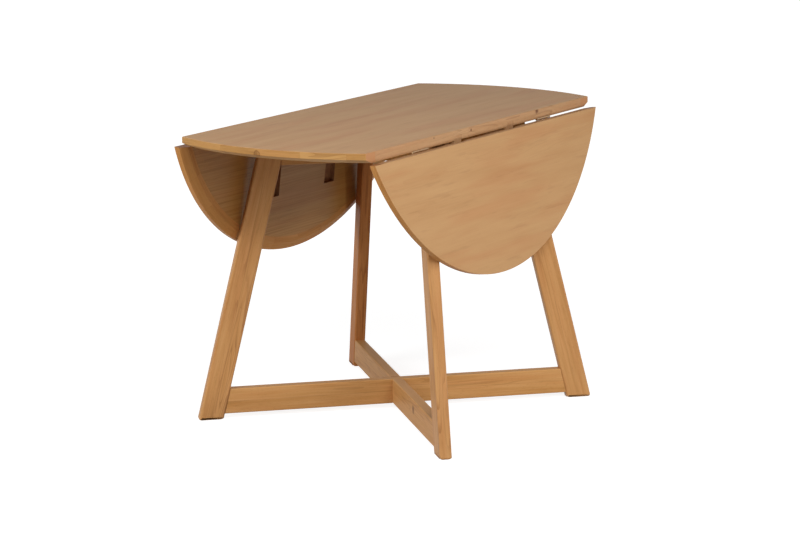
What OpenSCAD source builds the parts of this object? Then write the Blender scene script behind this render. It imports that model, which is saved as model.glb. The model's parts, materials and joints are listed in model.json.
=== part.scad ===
// Round drop-leaf dining table with a fixed centre panel, two hinged leaves and a splayed X-frame base.
// The origin is on the floor under the middle of the top. X runs along the hinge lines, Y across them
// and Z up. The near end is at -X, the left leaf at +Y. The leaves are drawn hanging.

/* [Top] */
// Diameter of the top across the curved ends of the panel
top_d = 1200; // [1100:10:1300]
// Height of the top surface above the floor
top_h = 761; // [720:1:800]
// Thickness of the panel and the leaves
board_t = 25; // [22:0.5:30]
// Width of the fixed panel between its hinge edges
panel_w = 528; // [500:2:560]
// Depth of a leaf from its hinge edge to the outermost point of its rim
leaf_depth = 342; // [310:1:370]
// Gap between the panel and a raised leaf
leaf_gap = 1.5; // [1:0.1:2.5]
// Thickness of the face and backing veneers
veneer_t = 0.8; // [0.5:0.1:1]
// Size of the eased upper edges of the panel and the leaves
arris = 1.2; // [1.1:0.1:2]
// Width of the solid curved rims
rim_w = 36; // [28:1:45]
// Width of the solid lippings along the hinge edges
lipping_w = 30; // [28:1:40]
// Width of the bevel under a curved rim
bevel_w = 20; // [10:1:24]
// Height of the bevel under a curved rim
bevel_h = 9.5; // [5:0.5:14]

/* [Legs] */
// Distance from the centre of the floor to the axis of a leg
foot_reach = 485; // [465:1:500]
// Distance from the centre to the axis of a leg where it meets the panel
head_reach = 305; // [290:1:315]
// Bearing of the leg in the +X +Y quarter, measured from X
leg_bearing = 45.6; // [44:0.1:47]
// Width of a leg across its broad face
leg_w = 62; // [50:1:70]
// Thickness of a leg
leg_t = 30; // [24:1:36]
// Radius on the long edges of a leg
leg_round = 5; // [2:0.5:8]
// Size of the eased edges round the sole of a leg
sole_ease = 2; // [1:0.5:3]

/* [Stretchers and rails] */
// Height of the underside of the stretchers above the floor
stretcher_z = 15; // [10:1:40]
// Depth of a stretcher from top to bottom
stretcher_h = 64; // [50:1:80]
// Depth of a top rail from top to bottom
rail_h = 88; // [60:1:95]
// Thickness of the stretchers and rails
bar_t = 28; // [22:1:32]
// Radius on the long edges of the stretchers and rails
bar_round = 3; // [1:0.5:5]
// Clearance in the half-lap joints and round the dowels' ends
lap_clear = 0.2; // [0.1:0.1:0.5]

/* [Support slides] */
// Distance of a support slide from the middle of the table
slide_x = 127; // [115:1:135]
// Width of a support slide
slide_w = 32; // [26:1:36]
// Depth of a support slide from top to bottom
slide_h = 24; // [20:1:28]
// Length of a support slide
slide_len = 252; // [230:1:256]
// Depth of the groove that a slide runs in, in the panel and in the leaf
groove_d = 12; // [9:0.5:13]
// Clearance round a slide in its groove and guide
slide_clear = 0.3; // [0.2:0.1:0.6]
// Width of the channel in a leaf
channel_w = 46; // [42:1:52]
// Length of the channel in a leaf from the hinge edge
channel_len = 187; // [170:1:200]
// Length of a guide along the slide
guide_len = 44; // [30:1:50]
// Distance from the hinge edge to a guide
guide_inset = 15; // [12:1:25]
// Width of each foot of a guide
guide_foot_w = 18; // [14:1:22]
// Thickness of the floor of a guide
guide_floor = 10; // [7:1:12]

/* [Hinges] */
// Distance of a hinge from the middle of the table
hinge_x = 299; // [285:1:330]
// Length of a hinge
hinge_len = 68; // [60:1:80]
// Width of a hinge plate from the pin to its edge
hinge_plate_w = 24; // [20:1:26]
// Thickness of a hinge plate
hinge_plate_t = 1.5; // [1.2:0.1:2]
// Radius of a hinge knuckle
knuckle_r = 3; // [2.6:0.1:3.2]
// Radius of a hinge pin
pin_r = 1.2; // [1:0.1:1.5]
// Distance of the hinge pin inboard of the hinge edge
pivot_inset = 1.5; // [1.5:0.1:4]
// Clearance between the moving parts of a hinge
hinge_clear = 0.25; // [0.2:0.05:0.4]
// Radial clearance of a pin in its knuckles
pin_clear = 0.05; // [0.03:0.01:0.1]
// Gap between a hanging leaf and the legs that it rests against
leaf_rest_gap = 0.4; // [0.3:0.1:1]

/* [Fixings] */
// Radius of the shank of a hinge or guide screw
screw_r = 1.6; // [1.4:0.1:2]
// Radius of the head of a hinge or guide screw
screw_head_r = 3.3; // [3:0.1:3.6]
// Length of a hinge screw
hinge_screw_len = 16; // [12:1:18]
// Depth to which a guide or frame screw enters the panel
screw_bite = 14; // [10:1:16]
// Radius of the shank of a frame screw
frame_screw_r = 2.2; // [2:0.1:2.5]
// Radius of the head of a frame screw
frame_screw_head_r = 5; // [4.5:0.1:5.5]
// Height of the head of a frame screw
frame_screw_head_h = 3; // [2.5:0.1:3.5]
// Length of frame screw that passes through the rail
frame_screw_grip = 25; // [20:1:30]
// Radius of a dowel
dowel_r = 5; // [4:0.5:6]
// Length of a dowel on each side of its joint
dowel_len = 24; // [18:1:28]
// Clearance of a screw's head and shank in a hinge plate or guide
screw_slack = 0.1; // [0.1:0.05:0.3]
// Clearance of a guide or frame screw in its pilot hole
pilot_slack = 0.05; // [0.05:0.01:0.1]
// Depth of a pilot hole past the end of its screw
pilot_over = 0.5; // [0.3:0.1:2]
// Clearance of a frame screw where it passes through the rail
rail_hole_slack = 0.4; // [0.3:0.1:0.8]
// Room for a driver round the head of a frame screw
driver_clear = 1; // [0.5:0.1:2]
// Radius of a stop peg
peg_r = 4; // [3:0.5:5]
// Distance of a stop peg from the inner end of its slide
peg_inset = 12; // [10:1:20]
// Height of a stop peg above its slide
peg_h = 4.5; // [3:0.5:5.5]

/* [Hidden] */
$fn = 64;
round_fn = 360;
eps = 0.01;
top_r = top_d / 2;
under_h = top_h - board_t;
solid_t = board_t - veneer_t;
edge_y = panel_w / 2;

// The hinge pin lies under the panel's lower corner, level with the free face of the plates.
pivot_y = edge_y - pivot_inset;
pivot_z = under_h - hinge_plate_t;
leaf_y = edge_y + leaf_gap;
hinge_offset = leaf_y - pivot_y;

// A leaf is a round segment whose straight side is as long as the panel's hinge edge.
half_chord = sqrt(top_r * top_r - edge_y * edge_y);
leaf_r = (half_chord * half_chord + leaf_depth * leaf_depth) / (2 * leaf_depth);
leaf_centre_y = leaf_y + leaf_depth - leaf_r;

// Legs lean in the vertical planes of the two diagonals.
splay = atan((foot_reach - head_reach) / under_h);
leg_half = leg_w / 2 / cos(splay);
leg_len = under_h / cos(splay);
function leg_axis_r(z) = foot_reach - z * tan(splay);
function leg_inner_r(z) = leg_axis_r(z) - leg_half;

// Centre line of the rounded edge of a leg that lies nearest the leaf, at height z.
edge_along = leg_half - leg_round;
edge_across = leg_t / 2 - leg_round;
function leg_edge_x(z) = (leg_axis_r(z) + edge_along) * cos(leg_bearing) - edge_across * sin(leg_bearing);
function leg_edge_y(z) = (leg_axis_r(z) + edge_along) * sin(leg_bearing) + edge_across * cos(leg_bearing);

// Height at which the flat inner face of a leaf ends in front of that edge.
function flat_depth(x) = sqrt(pow(leaf_r - bevel_w, 2) - x * x) - (leaf_r - leaf_depth);
function touch_z(lean, z, steps) = steps == 0 ? z : touch_z(lean, pivot_z
    - (flat_depth(leg_edge_x(z)) + hinge_offset - (leg_edge_y(z) - pivot_y) * sin(lean)) / cos(lean),
    steps - 1);

// Lean from plumb at which the inner face clears the leg's edge by leaf_rest_gap at height z.
function lean_at(z) = let (y = leg_edge_y(z) - pivot_y, h = z - pivot_z)
    atan2(h, y) + acos((hinge_plate_t - leaf_rest_gap - leg_round) / norm([y, h]));
function settled_lean(lean, steps) = steps == 0 ? lean
    : settled_lean(lean_at(touch_z(lean, under_h / 2, 8)), steps - 1);
leaf_lean = max(0, settled_lean(6, 8));

// Rails, stretchers and their dowels. The upper rail keeps the larger share of the lap, because the
// support slides are let into the rails from above.
stretcher_dowel_shares = [0.25, 0.75];
rail_dowel_shares = [0.28, 0.72];
rail_lap_share = 0.6;
stretcher_dowels_z = [for (share = stretcher_dowel_shares) stretcher_z + stretcher_h * share];
rail_dowels_z = [for (share = rail_dowel_shares) under_h - rail_h * share];
frame_screw_reaches = [80, 226];
corners = [[-1, 1], [-1, -1], [1, 1], [1, -1]];
function bearing(corner) = atan2(corner[1] * sin(leg_bearing), corner[0] * cos(leg_bearing));

// Support slides.
slide_drop = slide_h - groove_d;
slide_y = edge_y - slide_clear - slide_len;
guide_y = edge_y - guide_inset - guide_len;
guide_half = slide_w / 2 + slide_clear + guide_foot_w;
guide_h = slide_drop + slide_clear + guide_floor;
guide_screw_x = slide_w / 2 + slide_clear + guide_foot_w / 2;
guide_screw_share = 0.4;
guide_screw_y = guide_y + guide_len * guide_screw_share;
peg_y = slide_y + peg_inset;
slide_travel = guide_y - peg_y;
slot_over = 2 * peg_r;
finger_r = 5;

// Hinge screws lie in a row with the middle one nearer the pin.
hinge_screw_marks = [[-0.35, 0.68], [0, 0.42], [0.35, 0.68]];
knuckles = 5;
knuckle_len = hinge_len / knuckles;
plate_setback = knuckle_r + hinge_clear;
rebate_h = knuckle_r - hinge_plate_t + hinge_clear;

veneer_color = "#b8926a";
core_color = "#a9805a";
solid_color = "#c08a55";
leg_color = "#b9854f";
steel_color = "#b9b6b0";

// Mirrors a piece drawn on the left, +Y, side to the right side.
module on_side(side) {
    if (side > 0) children();
    else mirror([0, 1, 0]) children();
}

// Swings a piece drawn with the left leaf raised down to the hanging position.
module hanging(side) {
    on_side(side)
        translate([0, pivot_y, pivot_z])
            rotate([leaf_lean - 90, 0, 0])
                translate([0, -pivot_y, -pivot_z])
                    children();
}

// Rectangle with round corners, centred.
module rounded_rect(w, h, r) {
    square([w - 2 * r, h], center = true);
    square([w, h - 2 * r], center = true);
    for (x = [-1, 1], y = [-1, 1])
        translate([x * (w / 2 - r), y * (h / 2 - r)]) circle(r);
}

// Box that keeps the part of a board from y = low to y = high.
module strip(low, high) {
    translate([-top_d, low, -eps]) cube([2 * top_d, high - low, board_t + 2 * eps]);
}

// The same, with the upper edges eased.
module eased_strip(low, high) {
    translate([-top_d, 0, 0]) rotate([90, 0, 90]) linear_extrude(2 * top_d)
        polygon([[low, -eps], [high, -eps], [high, board_t - arris],
            [high - arris - eps, board_t + eps], [low + arris + eps, board_t + eps],
            [low, board_t - arris]]);
}

// Solid curved rim as a full ring, bevelled underneath and eased above.
module rim_ring(r) {
    rotate_extrude($fn = round_fn)
        polygon([[r - rim_w, 0], [r - bevel_w, 0], [r, bevel_h], [r, board_t - arris],
            [r - (arris - veneer_t), solid_t], [r - rim_w, solid_t]]);
}

// Face veneer as a full disc. It carries the upper part of the eased edge.
module veneer_disc(r) {
    rotate_extrude($fn = round_fn)
        polygon([[0, solid_t], [r - (arris - veneer_t), solid_t], [r - arris, board_t], [0, board_t]]);
}

// Disc that a rim goes round, from z = low to z = high.
module inner_disc(r, low, high) {
    translate([0, 0, low]) cylinder(r = r - rim_w, h = high - low, $fn = round_fn);
}

// Screw that points up from z = 0, where its countersunk head is flush, or its hole with some slack.
module countersunk(shank_r, head_r, length, slack = 0) {
    rotate_extrude()
        polygon([[0, -slack], [head_r + slack, -slack], [head_r + slack, 0],
            [shank_r + slack, head_r - shank_r], [shank_r + slack, length + slack],
            [0, length + slack]]);
}

// Places of the hinge screws under the board that the plate is fixed to; dir is 1 for a leaf.
module at_hinge_screws(end, dir) {
    for (mark = hinge_screw_marks)
        translate([end * hinge_x + mark[0] * hinge_len, pivot_y + dir * mark[1] * hinge_plate_w, pivot_z])
            children();
}

module hinge_screw(slack = 0) {
    countersunk(screw_r, screw_head_r, hinge_screw_len, slack);
}

// Grooves for the slides, cut into the underside of a board lying at z = 0.
module slide_grooves(w, low, high) {
    for (end = [-1, 1])
        translate([end * slide_x - w / 2, low, -eps])
            cube([w, high - low, groove_d + eps]);
}

// Centre panel: its parts are drawn with the underside at z = 0 and raised to the frame.
module panel_cuts() {
    groove_w = slide_w + 2 * slide_clear;
    slide_grooves(groove_w, -edge_y - eps, edge_y + eps);
    for (side = [1, -1]) on_side(side) {
        for (end = [-1, 1]) {
            translate([end * slide_x - peg_r - slide_clear, peg_y - slot_over, 0])
                cube([2 * (peg_r + slide_clear), slide_travel + 2 * slot_over, groove_d + peg_h]);
            translate([end * slide_x, guide_screw_y, 0])
                for (foot = [-1, 1])
                    translate([foot * guide_screw_x, 0, -eps])
                        cylinder(r = screw_r, h = screw_bite + pilot_over);
            translate([end * hinge_x - hinge_len / 2 - hinge_clear, pivot_y - plate_setback, -eps])
                cube([hinge_len + 2 * hinge_clear, pivot_inset + plate_setback + eps, rebate_h + eps]);
            translate([0, 0, -under_h]) at_hinge_screws(end, -1) hinge_screw(screw_slack);
        }
    }
    for (corner = corners, reach = frame_screw_reaches)
        rotate([0, 0, bearing(corner)])
            translate([reach, 0, -eps]) cylinder(r = frame_screw_r, h = screw_bite + pilot_over);
}

module panel_part() {
    translate([0, 0, under_h]) difference() {
        children();
        panel_cuts();
    }
}

module panel_veneer() {
    color(veneer_color) translate([0, 0, under_h]) intersection() {
        veneer_disc(top_r);
        eased_strip(-edge_y, edge_y);
    }
}

module panel_core() {
    color(core_color) panel_part() intersection() {
        inner_disc(top_r, veneer_t, solid_t);
        strip(lipping_w - edge_y, edge_y - lipping_w);
    }
}

module panel_backing() {
    color(veneer_color) panel_part() intersection() {
        inner_disc(top_r, 0, veneer_t);
        strip(-edge_y, edge_y);
    }
}

module panel_rim(end) {
    color(solid_color) panel_part() intersection() {
        rim_ring(top_r);
        eased_strip(-edge_y, edge_y);
        translate([end > 0 ? 0 : -top_d, -top_r, 0]) cube([top_d, top_d, board_t]);
    }
}

module panel_lipping(side) {
    color(solid_color) panel_part() intersection() {
        inner_disc(top_r, veneer_t, solid_t);
        eased_strip(-edge_y, edge_y);
        on_side(side) strip(edge_y - lipping_w, edge_y);
    }
}

// Leaves: parts are drawn raised, with the underside at z = 0 and the round centre on the Z axis.
module leaf_part(side) {
    hanging(side) difference() {
        translate([0, leaf_centre_y, under_h]) children();
        translate([0, 0, under_h]) slide_grooves(channel_w, leaf_y - eps, leaf_y + channel_len);
        for (end = [-1, 1]) {
            at_hinge_screws(end, 1) hinge_screw(screw_slack);
            translate([end * hinge_x - hinge_len / 2 - hinge_clear, pivot_y, pivot_z])
                rotate([0, 90, 0])
                    cylinder(r = knuckle_r + hinge_clear, h = hinge_len + 2 * hinge_clear);
        }
    }
}

leaf_low = leaf_y - leaf_centre_y;
leaf_high = leaf_r + 2 * arris;

module leaf_veneer(side) {
    color(veneer_color) hanging(side) translate([0, leaf_centre_y, under_h]) intersection() {
        veneer_disc(leaf_r);
        eased_strip(leaf_low, leaf_high);
    }
}

module leaf_core(side) {
    color(core_color) leaf_part(side) intersection() {
        inner_disc(leaf_r, veneer_t, solid_t);
        strip(leaf_low + lipping_w, leaf_high);
    }
}

module leaf_backing(side) {
    color(veneer_color) leaf_part(side) intersection() {
        inner_disc(leaf_r, 0, veneer_t);
        strip(leaf_low, leaf_high);
    }
}

module leaf_rim(side) {
    color(solid_color) leaf_part(side) intersection() {
        rim_ring(leaf_r);
        eased_strip(leaf_low, leaf_high);
    }
}

module leaf_lipping(side) {
    color(solid_color) leaf_part(side) intersection() {
        inner_disc(leaf_r, veneer_t, solid_t);
        eased_strip(leaf_low, leaf_high);
        strip(leaf_low, leaf_low + lipping_w);
    }
}

// Dowels that cross the inner face of a leg, at the given heights.
module joint_dowels(corner, heights, r, half_len) {
    rotate([0, 0, bearing(corner)])
        for (z = heights)
            translate([leg_inner_r(z) - half_len, 0, z])
                rotate([0, 90, 0]) cylinder(r = r, h = 2 * half_len);
}

module dowel_holes(corner, heights) {
    joint_dowels(corner, heights, dowel_r + pin_clear, dowel_len + lap_clear);
}

// Ridges that ease the four edges of a sole when they are cut away.
module sole_ridges() {
    width = sole_ease * sqrt(2);
    for (side = [-1, 1]) {
        translate([foot_reach, side * leg_t / 2, 0])
            rotate([45, 0, 0]) cube([2 * leg_w, width, width], center = true);
        translate([foot_reach + side * leg_half, 0, 0])
            rotate([0, 45, 0]) cube([width, 2 * leg_t, width], center = true);
    }
}

module leg(corner) {
    color(leg_color) difference() {
        rotate([0, 0, bearing(corner)]) intersection() {
            translate([foot_reach, 0, 0])
                rotate([0, -splay, 0])
                    translate([0, 0, -leg_w])
                        linear_extrude(leg_len + 2 * leg_w) rounded_rect(leg_w, leg_t, leg_round);
            translate([0, -leg_t, 0]) cube([foot_reach + leg_w, 2 * leg_t, under_h]);
        }
        rotate([0, 0, bearing(corner)]) sole_ridges();
        dowel_holes(corner, stretcher_dowels_z);
        dowel_holes(corner, rail_dowels_z);
    }
}

// Bar along a diagonal from leg to leg, with its ends cut to the legs' inner faces.
module diagonal_bar(turn, low, high) {
    rotate([0, 0, turn]) intersection() {
        translate([-foot_reach, 0, (low + high) / 2])
            rotate([90, 0, 90])
                linear_extrude(2 * foot_reach) rounded_rect(bar_t, high - low, bar_round);
        rotate([90, 0, 0])
            linear_extrude(2 * bar_t, center = true)
                polygon([[-leg_inner_r(low), low], [leg_inner_r(low), low],
                    [leg_inner_r(high), high], [-leg_inner_r(high), high]]);
    }
}

// Room for the other bar of a half-lap joint, from z = low to z = high.
module lap_notch(turn, low, high) {
    rotate([0, 0, turn])
        translate([-bar_t, -bar_t / 2 - lap_clear, low])
            cube([2 * bar_t, bar_t + 2 * lap_clear, high - low]);
}

module stretcher(turn, over) {
    middle = stretcher_z + stretcher_h / 2;
    high = stretcher_z + stretcher_h;
    color(leg_color) difference() {
        diagonal_bar(turn, stretcher_z, high);
        if (over) lap_notch(-turn, stretcher_z - 1, middle + lap_clear / 2);
        else lap_notch(-turn, middle - lap_clear / 2, high + 1);
        for (corner = corners) dowel_holes(corner, stretcher_dowels_z);
    }
}

module top_rail(turn, over) {
    low = under_h - rail_h;
    middle = under_h - rail_h * rail_lap_share;
    color(leg_color) difference() {
        diagonal_bar(turn, low, under_h);
        if (over) lap_notch(-turn, low - 1, middle + lap_clear / 2);
        else lap_notch(-turn, middle - lap_clear / 2, under_h + 1);
        for (corner = corners) dowel_holes(corner, rail_dowels_z);
        for (end = [-1, 1])
            translate([end * slide_x - slide_w / 2 - slide_clear, -edge_y,
                under_h - slide_drop - slide_clear])
                cube([slide_w + 2 * slide_clear, panel_w, slide_h]);
        for (side = [-1, 1], reach = frame_screw_reaches)
            rotate([0, 0, turn]) translate([side * reach, 0, 0]) {
                translate([0, 0, low - 1]) cylinder(r = frame_screw_r + rail_hole_slack, h = rail_h + 2);
                translate([0, 0, low - 1])
                    cylinder(r = frame_screw_head_r + driver_clear, h = rail_h - frame_screw_grip + 1);
            }
    }
}

module support_slide(end, side) {
    color(solid_color) on_side(side) translate([end * slide_x, 0, 0]) difference() {
        translate([-slide_w / 2, slide_y, under_h - slide_drop])
            cube([slide_w, slide_len, slide_h - slide_clear]);
        translate([-slide_w, slide_y + slide_len - 2 * finger_r, under_h - slide_drop])
            rotate([0, 90, 0]) cylinder(r = finger_r, h = 2 * slide_w);
        translate([0, peg_y, under_h]) cylinder(r = peg_r + pin_clear, h = groove_d);
    }
}

module support_guide(end, side) {
    low = under_h - guide_h;
    color(solid_color) on_side(side) translate([end * slide_x, 0, 0]) difference() {
        translate([-guide_half, guide_y, low]) cube([2 * guide_half, guide_len, guide_h]);
        translate([-slide_w / 2 - slide_clear, guide_y - 1, low + guide_floor])
            cube([slide_w + 2 * slide_clear, guide_len + 2, guide_h]);
        for (foot = [-1, 1])
            translate([foot * guide_screw_x, guide_screw_y, low])
                countersunk(screw_r, screw_head_r, guide_h + 1, screw_slack);
    }
}

module support_stop_pegs() {
    color(solid_color)
        for (end = [-1, 1], side = [-1, 1])
            on_side(side) translate([end * slide_x, peg_y, under_h])
                cylinder(r = peg_r, h = groove_d + peg_h - slide_clear);
}

// Half of a hinge, drawn with the leaf raised; dir is 1 for the leaf's half.
module hinge_half(end, dir) {
    first = dir > 0 ? 1 : 0;
    web_drop = dir > 0 ? hinge_clear : 0;
    difference() {
        translate([end * hinge_x - hinge_len / 2, pivot_y, pivot_z]) {
            translate([0, dir > 0 ? plate_setback : -hinge_plate_w, 0])
                cube([hinge_len, hinge_plate_w - plate_setback, hinge_plate_t]);
            for (i = [first : 2 : knuckles - 1])
                translate([i * knuckle_len + hinge_clear / 2, 0, 0]) {
                    rotate([0, 90, 0]) cylinder(r = knuckle_r, h = knuckle_len - hinge_clear);
                    translate([0, dir > 0 ? 0 : -plate_setback - eps, 0])
                        cube([knuckle_len - hinge_clear, plate_setback + eps, hinge_plate_t - web_drop]);
                }
        }
        translate([end * hinge_x - hinge_len, pivot_y, pivot_z])
            rotate([0, 90, 0]) cylinder(r = pin_r + pin_clear, h = 2 * hinge_len);
        at_hinge_screws(end, dir) hinge_screw(screw_slack);
    }
}

module hinge_plate_panel(end, side) {
    color(steel_color) on_side(side) hinge_half(end, -1);
}

module hinge_plate_leaf(end, side) {
    color(steel_color) hanging(side) hinge_half(end, 1);
}

module hinge_pin(end, side) {
    color(steel_color) on_side(side)
        translate([end * hinge_x - hinge_len / 2, pivot_y, pivot_z])
            rotate([0, 90, 0]) cylinder(r = pin_r, h = hinge_len);
}

module hinge_screws_panel() {
    color(steel_color)
        for (end = [-1, 1], side = [-1, 1]) on_side(side) at_hinge_screws(end, -1) hinge_screw();
}

module hinge_screws_leaf(side) {
    color(steel_color) hanging(side)
        for (end = [-1, 1]) at_hinge_screws(end, 1) hinge_screw();
}

module guide_screws() {
    color(steel_color)
        for (end = [-1, 1], side = [-1, 1], foot = [-1, 1])
            on_side(side)
                translate([end * slide_x + foot * guide_screw_x, guide_screw_y, under_h - guide_h])
                    countersunk(screw_r - pilot_slack, screw_head_r, guide_h + screw_bite);
}

module frame_screws() {
    color(steel_color)
        for (corner = corners, reach = frame_screw_reaches)
            rotate([0, 0, bearing(corner)])
                translate([reach, 0, under_h - frame_screw_grip]) {
                    cylinder(r = frame_screw_r - pilot_slack, h = frame_screw_grip + screw_bite);
                    translate([0, 0, -frame_screw_head_h])
                        cylinder(r = frame_screw_head_r, h = frame_screw_head_h);
                }
}

module stretcher_dowels() {
    color(solid_color)
        for (corner = corners) joint_dowels(corner, stretcher_dowels_z, dowel_r, dowel_len);
}

module rail_dowels() {
    color(solid_color)
        for (corner = corners) joint_dowels(corner, rail_dowels_z, dowel_r, dowel_len);
}

echo(leaf_lean = leaf_lean, raise = 90 - leaf_lean, pivot = [pivot_y, pivot_z], travel = slide_travel);

panel_veneer();
panel_core();
panel_backing();
panel_rim(-1);  // panel_rim_near
panel_rim(1);  // panel_rim_far
panel_lipping(1);  // panel_lipping_left
panel_lipping(-1);  // panel_lipping_right
leaf_veneer(1);  // left_leaf_veneer
leaf_core(1);  // left_leaf_core
leaf_backing(1);  // left_leaf_backing
leaf_rim(1);  // left_leaf_rim
leaf_lipping(1);  // left_leaf_lipping
leaf_veneer(-1);  // right_leaf_veneer
leaf_core(-1);  // right_leaf_core
leaf_backing(-1);  // right_leaf_backing
leaf_rim(-1);  // right_leaf_rim
leaf_lipping(-1);  // right_leaf_lipping
leg([-1, 1]);  // leg_near_left
leg([-1, -1]);  // leg_near_right
leg([1, 1]);  // leg_far_left
leg([1, -1]);  // leg_far_right
stretcher(-leg_bearing, true);  // stretcher_over
stretcher(leg_bearing, false);  // stretcher_under
top_rail(-leg_bearing, true);  // top_rail_over
top_rail(leg_bearing, false);  // top_rail_under
support_slide(-1, 1);  // support_slide_near_left
support_slide(-1, -1);  // support_slide_near_right
support_slide(1, 1);  // support_slide_far_left
support_slide(1, -1);  // support_slide_far_right
support_guide(-1, 1);  // support_guide_near_left
support_guide(-1, -1);  // support_guide_near_right
support_guide(1, 1);  // support_guide_far_left
support_guide(1, -1);  // support_guide_far_right
support_stop_pegs();
hinge_plate_panel(-1, 1);  // hinge_plate_panel_near_left
hinge_plate_panel(-1, -1);  // hinge_plate_panel_near_right
hinge_plate_panel(1, 1);  // hinge_plate_panel_far_left
hinge_plate_panel(1, -1);  // hinge_plate_panel_far_right
hinge_plate_leaf(-1, 1);  // hinge_plate_leaf_near_left
hinge_plate_leaf(-1, -1);  // hinge_plate_leaf_near_right
hinge_plate_leaf(1, 1);  // hinge_plate_leaf_far_left
hinge_plate_leaf(1, -1);  // hinge_plate_leaf_far_right
hinge_pin(-1, 1);  // hinge_pin_near_left
hinge_pin(-1, -1);  // hinge_pin_near_right
hinge_pin(1, 1);  // hinge_pin_far_left
hinge_pin(1, -1);  // hinge_pin_far_right
hinge_screws_panel();
hinge_screws_leaf(1);  // hinge_screws_left_leaf
hinge_screws_leaf(-1);  // hinge_screws_right_leaf
guide_screws();
frame_screws();
stretcher_dowels();
rail_dowels();
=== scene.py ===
# %% [markdown]
# This scene dresses a round drop-leaf dining table. The table has a fixed centre panel, a leaf hanging
# from each of its straight edges, four splayed legs and an X of stretchers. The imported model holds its
# construction and is loaded first, as a frame that nothing here moves. X runs along the hinge lines,
# Y across them and Z up, in metres, with the origin on the floor.

# %% Load the frame
import json
import math

import bmesh
import bpy
from mathutils import Matrix, Vector


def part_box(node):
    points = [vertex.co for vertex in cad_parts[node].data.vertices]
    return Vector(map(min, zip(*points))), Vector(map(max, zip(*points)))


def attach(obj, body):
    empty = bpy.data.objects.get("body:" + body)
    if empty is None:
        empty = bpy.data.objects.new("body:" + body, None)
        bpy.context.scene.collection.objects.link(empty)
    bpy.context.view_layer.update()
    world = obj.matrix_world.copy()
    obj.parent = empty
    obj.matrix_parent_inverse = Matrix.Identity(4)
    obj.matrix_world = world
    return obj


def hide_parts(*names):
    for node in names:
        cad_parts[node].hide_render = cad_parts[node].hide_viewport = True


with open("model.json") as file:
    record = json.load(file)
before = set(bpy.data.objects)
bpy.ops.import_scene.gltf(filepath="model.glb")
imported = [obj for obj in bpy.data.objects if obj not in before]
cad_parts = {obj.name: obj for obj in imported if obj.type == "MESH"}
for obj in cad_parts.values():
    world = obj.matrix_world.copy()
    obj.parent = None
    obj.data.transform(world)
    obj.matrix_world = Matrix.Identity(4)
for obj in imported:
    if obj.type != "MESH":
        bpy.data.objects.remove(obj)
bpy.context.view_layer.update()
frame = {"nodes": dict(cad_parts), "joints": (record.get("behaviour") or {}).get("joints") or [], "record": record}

MM = 0.001
nodes = frame["nodes"]
body_of = {node: body for body, members in frame["record"]["behaviour"]["bodies"].items()
           for node in members}

# %% [markdown]
# The camera stands as the photographer's did: well back, with a long lens, a little above the table
# and off its near right corner. Its place was worked out from the table's own edges, so the whole
# object lines up with the photo. A small roll and shift remain, because the photo was cropped.

# %% Camera
CAMERA_PLACE = Vector((-5.5980, -3.5566, 1.7490))
CAMERA_AZIMUTH = math.radians(-147.67)
CAMERA_HEIGHT_ANGLE = math.radians(11.69)
CAMERA_ROLL = -0.0089
CAMERA_LENS = 119.29
CAMERA_SENSOR = 36
CAMERA_SHIFT_Y = -0.00265

back = Vector((math.cos(CAMERA_HEIGHT_ANGLE) * math.cos(CAMERA_AZIMUTH),
               math.cos(CAMERA_HEIGHT_ANGLE) * math.sin(CAMERA_AZIMUTH),
               math.sin(CAMERA_HEIGHT_ANGLE)))
level_right = (-back).cross(Vector((0, 0, 1))).normalized()
level_up = level_right.cross(-back)
right = level_right * math.cos(CAMERA_ROLL) + level_up * math.sin(CAMERA_ROLL)
up = level_up * math.cos(CAMERA_ROLL) - level_right * math.sin(CAMERA_ROLL)

camera_data = bpy.data.cameras.new("camera")
camera_data.lens = CAMERA_LENS
camera_data.sensor_width = CAMERA_SENSOR
camera_data.shift_y = CAMERA_SHIFT_Y
camera = bpy.data.objects.new("camera", camera_data)
bpy.context.collection.objects.link(camera)
camera.matrix_world = Matrix.Translation(CAMERA_PLACE) @ Matrix((right, up, back)).transposed().to_4x4()
bpy.context.scene.camera = camera
print("camera", [round(c, 3) for c in CAMERA_PLACE])

# %% [markdown]
# Colours are written as sRGB hex values, as paint programs show them, and one function turns them to
# the linear values that the shaders want. One more function adds a node with its settings and its
# inputs, so that each material below reads as a short list of steps.

# %% Colour and node helpers
def linear(hex_colour):
    """An sRGB hex value as linear RGBA, by the curve of the sRGB standard."""
    channels = [int(hex_colour[i:i + 2], 16) / 255 for i in (1, 3, 5)]
    return [c / 12.92 if c <= 0.04045 else ((c + 0.055) / 1.055) ** 2.4 for c in channels] + [1]


def add(tree, kind, settings=None, inputs=None):
    """Adds a node. An input is a value, the output that feeds it, or a node whose first output does."""
    made = tree.nodes.new(kind)
    for key, value in (settings or {}).items():
        setattr(made, key, value)
    for key, value in (inputs or {}).items():
        if isinstance(value, bpy.types.Node):
            value = value.outputs[0]
        if isinstance(value, bpy.types.NodeSocket):
            tree.links.new(value, made.inputs[key])
        else:
            made.inputs[key].default_value = value
    return made


def new_material(name):
    """An empty material and its tree, ready for a shader."""
    material = bpy.data.materials.new(name)
    material.use_nodes = True
    material.node_tree.nodes.clear()
    return material, material.node_tree


print("linear of #c39564:", [round(c, 3) for c in linear("#c39564")])

# %% [markdown]
# The studio is plain. A large soft box hangs high on the camera's right, and a second one, lower and
# nearly as strong, stands far out on its left. As both look down on the table, the top's overhang
# shades the heads of the legs and the insides of the hanging leaves. What light there is in there
# comes up off the pale floor and from a low strip on the right, which reaches in under the right leaf
# and throws a leg's shadow on the left one. The surround is white to the camera and in reflections
# but dim as a light source, so the backdrop is clean and the shadows keep their depth.

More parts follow.
